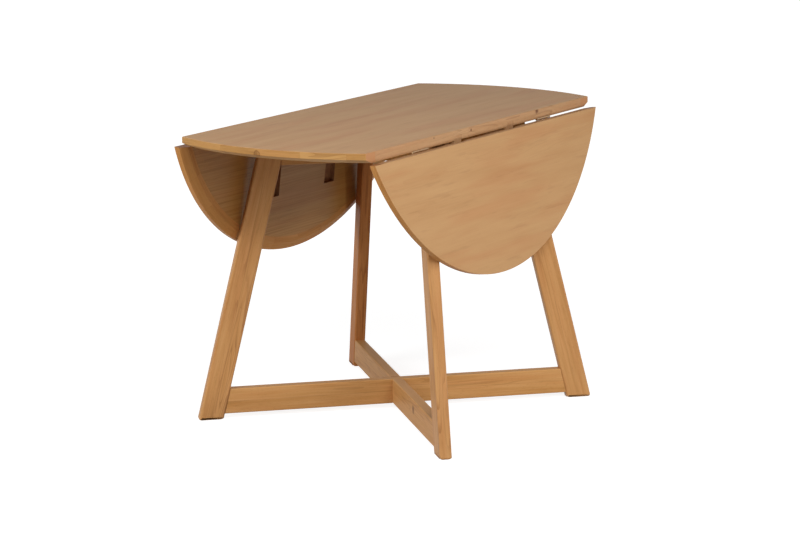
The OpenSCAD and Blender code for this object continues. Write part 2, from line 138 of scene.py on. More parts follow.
# %% World
SURROUND_LIGHT = 0.12
world = bpy.data.worlds.new("studio")
world.use_nodes = True
bpy.context.scene.world = world
tree = world.node_tree
tree.nodes.clear()
path = add(tree, "ShaderNodeLightPath")
seen = add(tree, "ShaderNodeMath", {"operation": "MAXIMUM"},
           {0: path.outputs["Is Camera Ray"], 1: path.outputs["Is Glossy Ray"]})
seen = add(tree, "ShaderNodeMath", {"operation": "MAXIMUM"},
           {0: seen, 1: path.outputs["Is Transmission Ray"]})
strength = add(tree, "ShaderNodeMapRange",
               inputs={"Value": seen, "To Min": SURROUND_LIGHT, "To Max": 1.0})
surround = add(tree, "ShaderNodeBackground", inputs={"Color": (1, 1, 1, 1), "Strength": strength})
add(tree, "ShaderNodeOutputWorld", inputs={"Surface": surround})
print("surround", SURROUND_LIGHT)

# %% Soft boxes
TABLE_MIDDLE = Vector((0, 0, 0.45))


def soft_box(name, azimuth, height, distance, width, tall, power):
    """A rectangular area lamp that stands round the table and is aimed at its middle."""
    lamp = bpy.data.lights.new(name, "AREA")
    lamp.shape = "RECTANGLE"
    lamp.size = width
    lamp.size_y = tall
    lamp.energy = power
    holder = bpy.data.objects.new(name, lamp)
    bpy.context.collection.objects.link(holder)
    bearing = math.radians(azimuth)
    place = Vector((distance * math.cos(bearing), distance * math.sin(bearing), height))
    aim = (TABLE_MIDDLE - place).to_track_quat("-Z", "Y")
    holder.matrix_world = Matrix.Translation(place) @ aim.to_matrix().to_4x4()


soft_box("key", azimuth=-129, height=2.25, distance=3.0, width=2.0, tall=2.0, power=70)
soft_box("fill", azimuth=154, height=1.6, distance=3.2, width=2.0, tall=1.6, power=62)
soft_box("low strip", azimuth=-77, height=0.22, distance=2.4, width=0.7, tall=0.3, power=14)

# %% [markdown]
# The floor is a matt white sheet. To the camera and in reflections it is lifted to white, so that only
# the table's own soft shadow darkens it. The lift is a little weaker close to the table, where that
# shadow lies. As a light source the floor glows a little, as one does that is lit beyond the edge of
# the picture.

# %% Floor
FLOOR_SIZE = 40
FLOOR_BOUNCE = 0.3
FLOOR_GLOW = 0.18
SHADED_GREY = 0.5
LIFT_NEAR = 0.86
LIFT_AWAY = 1.0
NEAR_RADIUS = 0.9
AWAY_RADIUS = 2.2
half = FLOOR_SIZE / 2
floor_mesh = bpy.data.meshes.new("floor")
floor_mesh.from_pydata([(-half, -half, 0), (half, -half, 0), (half, half, 0), (-half, half, 0)], [],
                       [(0, 1, 2, 3)])
floor = bpy.data.objects.new("floor", floor_mesh)
bpy.context.collection.objects.link(floor)
material, tree = new_material("matt white studio floor")
path = add(tree, "ShaderNodeLightPath")
bounce = add(tree, "ShaderNodeBsdfDiffuse", inputs={"Color": (FLOOR_BOUNCE,) * 3 + (1,)})
glow = add(tree, "ShaderNodeEmission", inputs={"Color": (1, 1, 1, 1), "Strength": FLOOR_GLOW})
given = add(tree, "ShaderNodeAddShader", inputs={0: bounce, 1: glow})
shaded = add(tree, "ShaderNodeBsdfDiffuse", inputs={"Color": (SHADED_GREY,) * 3 + (1,)})
where = add(tree, "ShaderNodeTexCoord")
away = add(tree, "ShaderNodeVectorMath", {"operation": "LENGTH"}, {0: where.outputs["Object"]})
lift = add(tree, "ShaderNodeMapRange", {"interpolation_type": "SMOOTHSTEP"},
           {"Value": away.outputs["Value"], "From Min": NEAR_RADIUS, "From Max": AWAY_RADIUS,
            "To Min": LIFT_NEAR, "To Max": LIFT_AWAY})
lift = add(tree, "ShaderNodeEmission", inputs={"Color": (1, 1, 1, 1), "Strength": lift})
seen = add(tree, "ShaderNodeAddShader", inputs={0: shaded, 1: lift})
looked_at = add(tree, "ShaderNodeMath", {"operation": "MAXIMUM"},
                {0: path.outputs["Is Camera Ray"], 1: path.outputs["Is Glossy Ray"]})
chosen = add(tree, "ShaderNodeMixShader", inputs={0: looked_at, 1: given, 2: seen})
add(tree, "ShaderNodeOutputMaterial", inputs={"Surface": chosen})
floor_mesh.materials.append(material)
bpy.context.scene.view_settings.view_transform = "Standard"
print("floor", FLOOR_SIZE, "m across")

# %% [markdown]
# Lacquered hardwood is a solid pattern: a board's faces and ends all cut through the same growth, so
# an image wrapped round it would break at every edge. Each piece therefore gets axes of its own, with
# X along the grain, and noise drawn out along X makes its marks: slow clouds of tone, fibre streaks,
# short dark vessel flecks, and here and there a run of darker growth lines. Factory timber is glued up
# from strips, so a piece can be divided into cells, each of which takes its own tone and its own
# patch of grain, with a hairline of glue between.

# %% Marks in the wood
def streaks(tree, point, length, width, detail=2.0):
    """Noise drawn out along the grain, in marks of about this length and width in metres."""
    drawn = add(tree, "ShaderNodeMapping",
                inputs={"Vector": point, "Scale": (1 / length, 1 / width, 1 / width)})
    noise = add(tree, "ShaderNodeTexNoise",
                inputs={"Vector": drawn, "Scale": 1.0, "Detail": detail, "Roughness": 0.55})
    return noise.outputs["Fac"]


def cut_off(tree, value, low, high, top=1.0):
    """Rises smoothly from nothing at low to top at high. High may be the smaller of the two."""
    return add(tree, "ShaderNodeMapRange", {"interpolation_type": "SMOOTHSTEP"},
               {"Value": value, "From Min": low, "From Max": high, "To Max": top})


def tinted(tree, colour, factor, tint):
    """Multiplies a colour by a tint, as far as the factor says."""
    return add(tree, "ShaderNodeMix", {"data_type": "RGBA", "blend_type": "MULTIPLY"},
               {"Factor": factor, "A": colour, "B": linear(tint)}).outputs["Result"]


print("streaks, from slow clouds to short flecks")

# %% Strips and bent blocks
NO_JOINT = 10.0
PATCH_STEP = (7, 3, 3)


def glued_cells(tree, point, length=NO_JOINT, width=NO_JOINT, offset=(NO_JOINT / 2, NO_JOINT / 2)):
    """Divides a piece into glued strips. Gives the point moved to each strip's own patch of grain,
    three random numbers of the strip, and a hairline at the joints."""
    start = (offset[0], NO_JOINT / 2, offset[1])
    sizes = (length, NO_JOINT, width)
    moved = add(tree, "ShaderNodeVectorMath", inputs={0: point, 1: start})
    cell = add(tree, "ShaderNodeVectorMath", {"operation": "SNAP"}, {0: moved, 1: sizes})
    centre = add(tree, "ShaderNodeVectorMath", inputs={0: cell, 1: [s / 2 for s in sizes]})
    chance = add(tree, "ShaderNodeTexWhiteNoise", inputs={"Vector": centre}).outputs["Color"]
    step = {0: chance, 1: PATCH_STEP, 2: point}
    patch = add(tree, "ShaderNodeVectorMath", {"operation": "MULTIPLY_ADD"}, step)
    inside = add(tree, "ShaderNodeVectorMath", {"operation": "SUBTRACT"}, {0: moved, 1: cell})
    rest = add(tree, "ShaderNodeVectorMath", {"operation": "SUBTRACT"}, {0: sizes, 1: inside})
    near = add(tree, "ShaderNodeVectorMath", {"operation": "MINIMUM"}, {0: inside, 1: rest})
    near = add(tree, "ShaderNodeSeparateXYZ", inputs={0: near})
    sides = {0: near.outputs["X"], 1: near.outputs["Z"]}
    near = add(tree, "ShaderNodeMath", {"operation": "MINIMUM"}, sides)
    return patch, chance, near


def bent_cells(tree, point, normal, radius, segment):
    """The same for a curved rim round the Z axis, sawn from straight blocks that are glued end to end.
    Each block gets straight axes of its own, with X along its chord."""
    parts = add(tree, "ShaderNodeSeparateXYZ", inputs={0: point})
    angle = add(tree, "ShaderNodeMath", {"operation": "ARCTAN2"},
                {0: parts.outputs["Y"], 1: parts.outputs["X"]})
    start = add(tree, "ShaderNodeMath", {"operation": "SNAP"}, {0: angle, 1: segment})
    middle = add(tree, "ShaderNodeMath", {"operation": "ADD"}, {0: start, 1: segment / 2})
    turn = add(tree, "ShaderNodeMath", {"operation": "MULTIPLY_ADD"},
               {0: middle, 1: -1, 2: math.pi / 2})
    block = add(tree, "ShaderNodeVectorRotate", {"rotation_type": "Z_AXIS"},
                {"Vector": point, "Angle": turn})
    block_normal = add(tree, "ShaderNodeVectorRotate", {"rotation_type": "Z_AXIS"},
                       {"Vector": normal, "Angle": turn})
    chance = add(tree, "ShaderNodeTexWhiteNoise", {"noise_dimensions": "1D"},
                 {"W": middle}).outputs["Color"]
    patch = add(tree, "ShaderNodeVectorMath", {"operation": "MULTIPLY_ADD"},
                {0: chance, 1: PATCH_STEP, 2: block})
    near = add(tree, "ShaderNodeMath", {"operation": "SUBTRACT"}, {0: angle, 1: middle})
    near = add(tree, "ShaderNodeMath", {"operation": "ABSOLUTE"}, {0: near})
    near = add(tree, "ShaderNodeMath", {"operation": "MULTIPLY_ADD"},
               {0: near, 1: -radius, 2: segment / 2 * radius})
    return patch, chance, near, block_normal


print("strips of", NO_JOINT, "m at most, and blocks on an arc")

# %% [markdown]
# A knot is the cut foot of a branch. The fibres run round it, so it has a dark heart and often a
# darker ring of bark. Sizes are shares of the knot's radius, and a little noise bends its outline.

# %% Knots
KNOT_DARK = "#6e3f22"
HEART_FULL = 0.8
HEART_END = 1.5
HEART_DEPTH = 0.9
RING_START = 1.0
RING_END = 1.5
WOBBLE_PER_RADIUS = 0.5


def knotted(tree, colour, place, knots):
    """Draws knots on a colour. A knot is a place in the table's own frame, a radius, and the share
    of its outline that is dark."""
    for spot, size, outline in knots:
        wobble = add(tree, "ShaderNodeTexNoise",
                     inputs={"Vector": place, "Scale": WOBBLE_PER_RADIUS / size, "Detail": 2.0})
        away = add(tree, "ShaderNodeVectorMath", {"operation": "DISTANCE"},
                   {0: place, 1: spot}).outputs["Value"]
        away = add(tree, "ShaderNodeMath", {"operation": "MULTIPLY_ADD"},
                   {0: wobble.outputs["Fac"], 1: size, 2: away})
        heart = cut_off(tree, away, HEART_END * size, HEART_FULL * size, HEART_DEPTH - outline)
        ring = cut_off(tree, away, RING_START * size, RING_END * size)
        ring = add(tree, "ShaderNodeMath", {"operation": "PINGPONG"}, {0: ring, 1: 0.5})
        mark = add(tree, "ShaderNodeMath", {"operation": "MULTIPLY_ADD", "use_clamp": True},
                   {0: ring, 1: 2 * outline, 2: heart})
        colour = tinted(tree, colour, mark, KNOT_DARK)
    return colour


print("knots of", KNOT_DARK)

# %% [markdown]
# A look gathers what sets one wood finish apart from another: its three tones, how strong each kind
# of mark is, and how the lacquer shines. Where a face cuts across the fibres it is end grain, which
# drinks more lacquer and takes a tone of its own. A clear satin lacquer is a dielectric of index 1.5,
# but the grain under it scatters the reflection, so the specular level is under the usual half. Each
# fade below is the pair of noise values between which a mark comes in. Ring waves and patches have a
# length and a width in metres.

# %% Wood material
GLUE_LINE = 0.6 * MM
FIBRE_RELIEF = 0.3 * MM
LACQUER_INDEX = 1.5
DULLER = 0.08
GLOSSIER = 0.06
MARK_DARK = "#8c5c38"
FLECK_DARK = "#7d5130"
PINK = "#f6e0d8"
SEED_STEP = Vector((3.1, 1.7, 2.3))
BLUSH_LONGER = 1.4
BLUSH_WIDER = 1.5
BLUSH_FADE = (0.45, 0.68)
RING_WAVES = (0.35, 0.022)
RING_FADE = (0.55, 0.98)
RING_PATCHES = (0.6, 0.05)
PATCH_FADE = (0.48, 0.66)
FLECK_FADE = (0.64, 0.8)
SMUDGE_FADE = (0.58, 0.74)
PAINTED_LIGHT_FACING_UP = (0.5, 0.9)
ACROSS_FIBRES = (0.72, 0.86)


def wood(name, look, axes=None, cells=None, bent=None, seed=0, knots=()):
    """Lacquered wood. axes is the matrix of the piece's own axes, with X along the grain.
    cells are the arguments of glued_cells, bent those of bent_cells, and knots those of knotted."""
    material, tree = new_material(name)
    where = add(tree, "ShaderNodeTexCoord")
    axes = axes or Matrix()
    place, turn = axes.translation, axes.to_euler()
    own = add(tree, "ShaderNodeMapping", {"vector_type": "TEXTURE"},
              {"Vector": where.outputs["Object"], "Location": place, "Rotation": turn})
    normal = add(tree, "ShaderNodeMapping", {"vector_type": "TEXTURE"},
                 {"Vector": where.outputs["Normal"], "Rotation": turn})
    if bent:
        point, chance, near, normal = bent_cells(tree, own, normal, **bent)
    else:
        point, chance, near = glued_cells(tree, own, **(cells or {}))
    point = add(tree, "ShaderNodeVectorMath", inputs={0: point, 1: SEED_STEP * seed})

    clouds = streaks(tree, point, look["cloud_long"], look["cloud_wide"], 3.0)
    fibres = streaks(tree, point, look["fibre_long"], look["fibre_wide"], 4.0)
    luck = add(tree, "ShaderNodeSeparateColor", inputs={0: chance})
    tone = 0.5 - (look["clouds"] + look["fibres"] + look["strips"]) / 2
    for value, depth in ((clouds, look["clouds"]), (fibres, look["fibres"]),
                         (luck.outputs["Red"], look["strips"])):
        tone = add(tree, "ShaderNodeMath", {"operation": "MULTIPLY_ADD"}, {0: value, 1: depth, 2: tone})
    ramp = add(tree, "ShaderNodeValToRGB", inputs={"Fac": tone})
    stops = ramp.color_ramp.elements
    stops[0].position, stops[0].color = 0.0, linear(look["pale"])
    stops[1].position, stops[1].color = 1.0, linear(look["dark"])
    stops.new(0.5).color = linear(look["mid"])
    colour = ramp.outputs["Color"]
    pink = streaks(tree, point, BLUSH_LONGER * look["cloud_long"], BLUSH_WIDER * look["cloud_wide"])
    colour = tinted(tree, colour, cut_off(tree, pink, *BLUSH_FADE, look["blush"]), PINK)

    warp = streaks(tree, point, *RING_WAVES, 1.0)
    rise = add(tree, "ShaderNodeMath", {"operation": "MULTIPLY"}, {0: warp, 1: look["rings"]})
    phase = add(tree, "ShaderNodeMath", {"operation": "FRACT"}, {0: rise})
    late = cut_off(tree, phase, *RING_FADE)
    patch = cut_off(tree, streaks(tree, point, *RING_PATCHES, 0.0), *PATCH_FADE, look["lines"])
    late = add(tree, "ShaderNodeMath", {"operation": "MULTIPLY"}, {0: late, 1: patch})
    colour = tinted(tree, colour, late, MARK_DARK)
    for mark, detail, fade, tint in (("fleck", 0.0, FLECK_FADE, FLECK_DARK),
                                     ("smudge", 2.0, SMUDGE_FADE, MARK_DARK)):
        drawn = streaks(tree, point, look[mark + "_long"], look[mark + "_wide"], detail)
        colour = tinted(tree, colour, cut_off(tree, drawn, *fade, look[mark + "s"]), tint)

    # Faces that turn upwards are mixed towards a paler colour: painted light on the tops of bars and rails, which
    # the table top shades from the lamps.
    facing = add(tree, "ShaderNodeSeparateXYZ", inputs={0: normal})
    colour = add(tree, "ShaderNodeMix", {"data_type": "RGBA"},
                 {"Factor": cut_off(tree, facing.outputs["Z"], *PAINTED_LIGHT_FACING_UP, look["painted_top_light"]), "A": colour,
                  "B": linear(look["top"])}).outputs["Result"]
    ends = add(tree, "ShaderNodeMath", {"operation": "ABSOLUTE"}, {0: facing.outputs["X"]})
    colour = add(tree, "ShaderNodeMix", {"data_type": "RGBA"},
                 {"Factor": cut_off(tree, ends, *ACROSS_FIBRES, look["ends"]), "A": colour,
                  "B": linear(look["end"])}).outputs["Result"]
    joint = add(tree, "ShaderNodeMapRange",
                inputs={"Value": near, "From Max": GLUE_LINE, "To Min": look["joints"], "To Max": 0.0})
    colour = tinted(tree, colour, joint, MARK_DARK)
    colour = knotted(tree, colour, where.outputs["Object"], knots)

    gloss = add(tree, "ShaderNodeMapRange",
                inputs={"Value": fibres, "To Min": look["roughness"] - GLOSSIER,
                        "To Max": look["roughness"] + DULLER})
    relief = add(tree, "ShaderNodeBump",
                 inputs={"Height": fibres, "Strength": look["bump"], "Distance": FIBRE_RELIEF})
    surface = add(tree, "ShaderNodeBsdfPrincipled",
                  inputs={"Base Color": colour, "Roughness": gloss, "Normal": relief,
                          "IOR": LACQUER_INDEX, "Specular IOR Level": look["specular"]})
    add(tree, "ShaderNodeOutputMaterial", inputs={"Surface": surface})
    return material


def dress(node, material):
    """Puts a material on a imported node's own slots."""
    slots = nodes[node].data.materials
    for i in range(len(slots)):
        slots[i] = material


print("wood with glue lines of", round(GLUE_LINE / MM, 1), "mm")

# %% [markdown]
# The boards' sizes and places come from the frame. A leaf is worked on as if it were raised level,
# where its outline is simple, and is then swung down about its hinge by the angle that the record
# gives. Turning it half round as well makes the right leaf out of the left one.

# %% Axes of the boards
TOP_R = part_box("panel_rim_far")[1].x
TOP_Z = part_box("panel_veneer")[1].z
UNDER_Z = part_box("panel_backing")[0].z
BOARD_T = TOP_Z - UNDER_Z
PANEL_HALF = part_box("panel_lipping_left")[1].y
RIM_W = TOP_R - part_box("panel_core")[1].x
VENEER_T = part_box("panel_backing")[1].z - UNDER_Z
LEAF_GAP = 1.5 * MM
LEAF_DEPTH = 342 * MM
HALF_CHORD = math.sqrt(TOP_R ** 2 - PANEL_HALF ** 2)
LEAF_R = (HALF_CHORD ** 2 + LEAF_DEPTH ** 2) / (2 * LEAF_DEPTH)
LEAF_CENTRE = PANEL_HALF + LEAF_GAP + LEAF_DEPTH - LEAF_R
LEAVES = {"left_leaf": 0, "right_leaf": math.pi}
hinge_of = {joint["child"]: joint for joint in frame["joints"]}


def hanging(leaf):
    """From a raised leaf's axes, with the leaf towards +Y, to its place at rest."""
    joint = hinge_of[leaf]
    pivot = Matrix.Translation(Vector(joint["pos_m"]))
    swing = Matrix.Rotation(-math.radians(joint["range_deg"][1]), 4, Vector(joint["axis"]))
    return pivot @ swing @ pivot.inverted() @ Matrix.Rotation(LEAVES[leaf], 4, "Z")


print("top radius", round(TOP_R, 4), "leaf radius", round(LEAF_R, 4), "board", round(BOARD_T, 4))

# %% [markdown]
# A rim is sawn to the curve from blocks glued end to end, bevelled underneath with a cutter, and sanded
# so that no corner is sharp. It could be a ring cut with booleans, but its shape follows a rule: one
# section swept round an arc until it meets a straight cut. So a small node tree does it. The section is
# swept along a straight path first, and each point is then sent to its radius and its angle, with
# the end angle worked out so that every point of the last section lies in the plane of the cut.

# %% Section of a rim
BEVEL_W = 20 * MM
BEVEL_H = 9.5 * MM
ARRIS = 1.2 * MM
BEVEL_EASE = 3 * MM
EDGE_EASE = 1.2 * MM


def eased(before, corner, after, radius, steps=5):
    """Points of a round of this radius between two straight lines of a section."""
    one, other = (before - corner).normalized(), (after - corner).normalized()
    half_angle = one.angle(other) / 2
    centre = corner + (one + other).normalized() * radius / math.sin(half_angle)
    first = corner + one * radius / math.tan(half_angle) - centre
    last = corner + other * radius / math.tan(half_angle) - centre
    return [centre + first.lerp(last, i / steps).normalized() * radius for i in range(steps + 1)]


def rim_section(radius):
    """Closed section of a rim in the XY plane: X is the radius and Y the height."""
    inner, solid_t = radius - RIM_W, BOARD_T - VENEER_T
    corners = [Vector(c) for c in ((inner, 0), (radius - BEVEL_W, 0), (radius, BEVEL_H),
                                   (radius, BOARD_T - ARRIS), (radius - ARRIS + VENEER_T, solid_t),
                                   (inner, solid_t))]
    points = [corners[0], *eased(*corners[0:3], BEVEL_EASE), *eased(*corners[1:4], EDGE_EASE),
              *corners[3:]]
    mesh = bpy.data.meshes.new("rim section")
    count = len(points)
    mesh.from_pydata([(p.x, p.y, 0) for p in points], [(i, (i + 1) % count) for i in range(count)], [])
    return mesh


print(len(rim_section(TOP_R).vertices), "points in a rim's section")

# %% Tree that bends a rim
def node_group(name, wanted):
    """A Geometry Nodes tree with a mesh going in and out and these named inputs."""
    tree = bpy.data.node_groups.new(name, "GeometryNodeTree")
    tree.interface.new_socket("Geometry", in_out="INPUT", socket_type="NodeSocketGeometry")
    for key, kind in wanted.items():
        tree.interface.new_socket(key, in_out="INPUT", socket_type=kind)
    tree.interface.new_socket("Geometry", in_out="OUTPUT", socket_type="NodeSocketGeometry")
    return tree, add(tree, "NodeGroupInput")


def end_tree(tree, given, geometry):
    """Ends a tree: its copies become real, take on the material and go out."""
    real = add(tree, "GeometryNodeRealizeInstances", inputs={"Geometry": geometry})
    dressed = add(tree, "GeometryNodeSetMaterial",
                  inputs={"Geometry": real, "Material": given.outputs["Material"]})
    add(tree, "NodeGroupOutput", inputs={"Geometry": dressed})


bend_tree, given = node_group("bent rim", {
    "Cut": "NodeSocketFloat", "Cut Ahead": "NodeSocketBool", "Eased From": "NodeSocketFloat",
    "Steps": "NodeSocketInt", "Material": "NodeSocketMaterial"})
section = add(bend_tree, "GeometryNodeMeshToCurve", inputs={"Mesh": given.outputs["Geometry"]})
path = add(bend_tree, "GeometryNodeCurvePrimitiveLine", inputs={"Start": (0, 0, 0), "End": (0, 0, 1)})
path = add(bend_tree, "GeometryNodeResampleCurve",
           inputs={"Curve": path, "Count": given.outputs["Steps"]})
swept = add(bend_tree, "GeometryNodeCurveToMesh",
            inputs={"Curve": path, "Profile Curve": section, "Fill Caps": True})
place = add(bend_tree, "GeometryNodeInputPosition")
radius, height, share = add(bend_tree, "ShaderNodeSeparateXYZ", inputs={0: place}).outputs
ease = add(bend_tree, "ShaderNodeMath", {"operation": "SUBTRACT"},
           {0: height, 1: given.outputs["Eased From"]})
ease = add(bend_tree, "ShaderNodeMath", {"operation": "MAXIMUM"}, {0: ease, 1: 0})
ends = []
for eased_by, angle_of in (("SUBTRACT", "ARCSINE"), ("ADD", "ARCCOSINE")):
    line = add(bend_tree, "ShaderNodeMath", {"operation": eased_by},
               {0: given.outputs["Cut"], 1: ease})
    line = add(bend_tree, "ShaderNodeMath", {"operation": "DIVIDE"}, {0: line, 1: radius})
    ends.append(add(bend_tree, "ShaderNodeMath", {"operation": angle_of}, {0: line}))
end = add(bend_tree, "GeometryNodeSwitch", {"input_type": "FLOAT"},
          {"Switch": given.outputs["Cut Ahead"], "False": ends[0], "True": ends[1]})
both_ways = add(bend_tree, "ShaderNodeMath", {"operation": "MULTIPLY_ADD"}, {0: share, 1: 2, 2: -1})
angle = add(bend_tree, "ShaderNodeMath", {"operation": "MULTIPLY"}, {0: both_ways, 1: end})
outwards = add(bend_tree, "ShaderNodeCombineXYZ", inputs={"X": radius, "Z": height})
bent = add(bend_tree, "ShaderNodeVectorRotate", {"rotation_type": "Z_AXIS"},
           {"Vector": outwards, "Angle": angle})
moved = add(bend_tree, "GeometryNodeSetPosition", inputs={"Geometry": swept, "Position": bent})
end_tree(bend_tree, given, moved)
print(len(bend_tree.nodes), "nodes in the rim's tree")

# %% [markdown]
# What a tree makes is turned into a plain mesh, which is then cleaned: points that coincide are
# merged, the faces are turned outwards, and edges that the merging doubled are removed. Its small
# rounds are shaded smooth and its large faces flat, so the normals along a round's edge lean
# towards the larger face.

# %% Helper that runs a tree
SMOOTH_UNDER = math.radians(28)
FAVOUR_LARGE_FACES = 100
WELD = 1e-6


def soft_edged(name, mesh):
    """Makes a piece of a mesh, with its rounds smooth and its large faces flat."""
    mesh.shade_smooth()
    mesh.set_sharp_from_angle(angle=SMOOTH_UNDER)
    raw = bpy.data.objects.new(name + "_raw", mesh)
    bpy.context.collection.objects.link(raw)
    weighted = raw.modifiers.new("normals", "WEIGHTED_NORMAL")
    weighted.keep_sharp = True
    weighted.weight = FAVOUR_LARGE_FACES
    final = bpy.data.meshes.new_from_object(raw.evaluated_get(bpy.context.evaluated_depsgraph_get()))
    bpy.data.objects.remove(raw)
    final.name = name
    piece = bpy.data.objects.new(name, final)
    bpy.context.collection.objects.link(piece)
    return piece


def grown(name, mesh, tree, values, axes):
    """Runs a tree on a mesh, gives the result as a plain mesh object, and puts it in its place."""
    seed_object = bpy.data.objects.new(name + "_seed", mesh)
    bpy.context.collection.objects.link(seed_object)
    modifier = seed_object.modifiers.new("nodes", "NODES")
    modifier.node_group = tree
    for item in tree.interface.items_tree:
        if item.in_out == "INPUT" and item.name in values:
            modifier[item.identifier] = values[item.name]
    seed_object.update_tag()
    evaluated = seed_object.evaluated_get(bpy.context.evaluated_depsgraph_get())
    result = bpy.data.meshes.new_from_object(evaluated)
    bpy.data.objects.remove(seed_object)
    result.name = name
    result.transform(axes)
    built = bmesh.new()
    built.from_mesh(result)
    bmesh.ops.remove_doubles(built, verts=built.verts, dist=WELD)
    bmesh.ops.recalc_face_normals(built, faces=built.faces)
    built.to_mesh(result)
    built.free()
    result.validate()
    return soft_edged(name, result)


def stand_for(piece, node):
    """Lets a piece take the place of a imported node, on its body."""
    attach(piece, body_of[node])
    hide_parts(node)


print("points closer than", WELD, "m are merged")

# %% [markdown]
# The timber is a pale plantation hardwood with a plain, straight grain, clear-lacquered to a warm
# honey tan. Its solid parts are glued up from strips. The rims and lippings are the same timber, and
# the boards between them are covered with a quieter sliced veneer. The undersides have a coarser
# veneer with a smoother coat, which mirrors the pale floor at a low angle. Its tone is painted darker
# and redder than the face veneer's: painted shade for the shade under the top.

# %% Looks
SOLID = {"pale": "#d0a06a", "mid": "#c18d56", "dark": "#a8733c", "clouds": 0.9, "fibres": 0.5,
         "strips": 0.12, "blush": 0.3, "cloud_long": 0.22, "cloud_wide": 0.014, "fibre_long": 0.12,
         "fibre_wide": 0.0025, "rings": 8, "lines": 0.36, "fleck_long": 0.009, "fleck_wide": 0.001,
         "flecks": 0.14, "smudge_long": 0.06, "smudge_wide": 0.006, "smudges": 0.12, "joints": 0.25,
         # The top colour is painted light: upward faces are mixed towards it, and only the bars and rails use it.
         "top": "#eeba78", "painted_top_light": 0.0, "end": "#9b5b2b", "ends": 0.6, "roughness": 0.5,
         "bump": 0.12, "specular": 0.22}
# The far left leg's timber is painted darker and redder: painted shade for the deep shade it stands in under the
# top and the hanging right leaf.
SHADED_LEG_TIMBER = {**SOLID, "pale": "#cb8e58", "mid": "#bf7d46", "dark": "#985c30", "specular": 0.08}
# Bars and rails have their upward faces painted paler, a painted light on tops that the table top keeps in shade.
BAR = {**SOLID, "pale": "#d3a36d", "mid": "#c59159", "dark": "#ae793f", "lines": 0.22, "smudges": 0.08,
       "painted_top_light": 0.5, "specular": 0.1}
RIM = {**SOLID, "pale": "#c49860", "mid": "#b48750", "dark": "#9c6f3c", "strips": 0.36, "lines": 0.3,
       "end": "#c18a60", "ends": 0.9, "specular": 0.08}
LEAF_RIM = {**RIM, "pale": "#cb945a", "mid": "#bd8549", "dark": "#a66c36", "strips": 0.15,
            "end": "#8e5a38", "ends": 0.8, "specular": 0.12}
LIPPING = {**SOLID, "pale": "#cea67c", "mid": "#c0956b", "dark": "#ad7e50", "lines": 0.25,
           "specular": 0.12}
FACE = {**SOLID, "pale": "#cda271", "mid": "#c39666", "dark": "#b68656", "clouds": 0.8,
        "fibres": 0.25, "strips": 0.0, "blush": 0.45, "cloud_long": 0.3, "cloud_wide": 0.035,
        "fibre_long": 0.2, "fibre_wide": 0.003, "rings": 9, "lines": 0.05, "flecks": 0.03,
        "smudge_long": 0.12, "smudge_wide": 0.012, "smudges": 0.1, "joints": 0.0,
        "roughness": 0.52, "bump": 0.05, "specular": 0.15}
# The backing's tones are darker and redder than the face veneer's: painted shade for the undersides and the
# leaves' inner faces, which lie in shade.
BACKING_WITH_PAINTED_SHADE = {**FACE, "pale": "#b8894c", "mid": "#ad7d42", "dark": "#9a6a33", "cloud_long": 0.6,
           "cloud_wide": 0.02, "fibres": 1.8, "fibre_long": 0.35, "fibre_wide": 0.004, "lines": 0.1,
           "smudges": 0.06, "roughness": 0.34, "specular": 0.14}
print("looks for legs, bars, rims, lippings, face veneer and backing veneer")

# %% Rims
RIM_STEPS = 97
RIM_BLOCK_ANGLE = 0.19
rim_places = {
    "panel_rim_far": (TOP_R, Matrix.Translation((0, 0, UNDER_Z)), PANEL_HALF, False),
    "panel_rim_near": (TOP_R, Matrix.Translation((0, 0, UNDER_Z)) @ Matrix.Rotation(math.pi, 4, "Z"),
                       PANEL_HALF, False)}
for leaf in LEAVES:
    level = Matrix.Translation((0, LEAF_CENTRE, UNDER_Z)) @ Matrix.Rotation(math.pi / 2, 4, "Z")
    cut = PANEL_HALF + LEAF_GAP - LEAF_CENTRE
    rim_places[leaf + "_rim"] = (LEAF_R, hanging(leaf) @ level, cut, True)
RIM_KNOTS = ((Vector((-0.600, 0.002, 0.748)), 11 * MM, 0.6),
             (Vector((-0.5515, 0.2364, 0.728)), 3 * MM, 0.1))
for i, (node, (radius, axes, cut, ahead)) in enumerate(rim_places.items()):
    timber = wood("clear lacquered rim timber " + node, LEAF_RIM if ahead else RIM, axes, seed=11 + i,
                  bent={"radius": radius, "segment": RIM_BLOCK_ANGLE},
                  knots=RIM_KNOTS if node == "panel_rim_near" else ())
    rim = grown(node + "_bent", rim_section(radius), bend_tree, {
        "Cut": cut, "Cut Ahead": ahead, "Eased From": BOARD_T - ARRIS, "Steps": RIM_STEPS,
        "Material": timber}, axes)
    stand_for(rim, node)
    low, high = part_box(node)
    corners = [min(v.co[k] for v in rim.data.vertices) - low[k] for k in range(3)]
    corners += [max(v.co[k] for v in rim.data.vertices) - high[k] for k in range(3)]
    print(node, len(rim.data.polygons), "faces, off its node's box by mm",
          [round(c / MM, 2) for c in corners])

# %% [markdown]
# Each leg and stretcher is cut from its own length of timber, so its grain follows its own line. The
# line is read from the piece in the frame: a leg runs from the middle of its sole to its head. They
# are glued up from two strips that meet in the middle of the broad face, as the photo shows.

# %% Lines of legs and bars
UP = Vector((0, 0, 1))
LEVEL = 0.1 * MM


def along(start, end, side):
    """Axes at start with X towards end and Z as near to side as it can be."""
    x = (end - start).normalized()
    y = side.cross(x).normalized()
    turn = Matrix((x, y, x.cross(y))).transposed().to_4x4()
    return Matrix.Translation(start) @ turn


def leg_line(node):
    """Middle of the sole and middle of the head of a leg."""
    points = [v.co for v in nodes[node].data.vertices]
    ends = []
    for height in (min(p.z for p in points), max(p.z for p in points)):
        level = [p for p in points if abs(p.z - height) < LEVEL]
        ends.append(sum(level, Vector()) / len(level))
    return ends


print("a leg's sole and head", [[round(c, 3) for c in end] for end in leg_line("leg_near_left")])

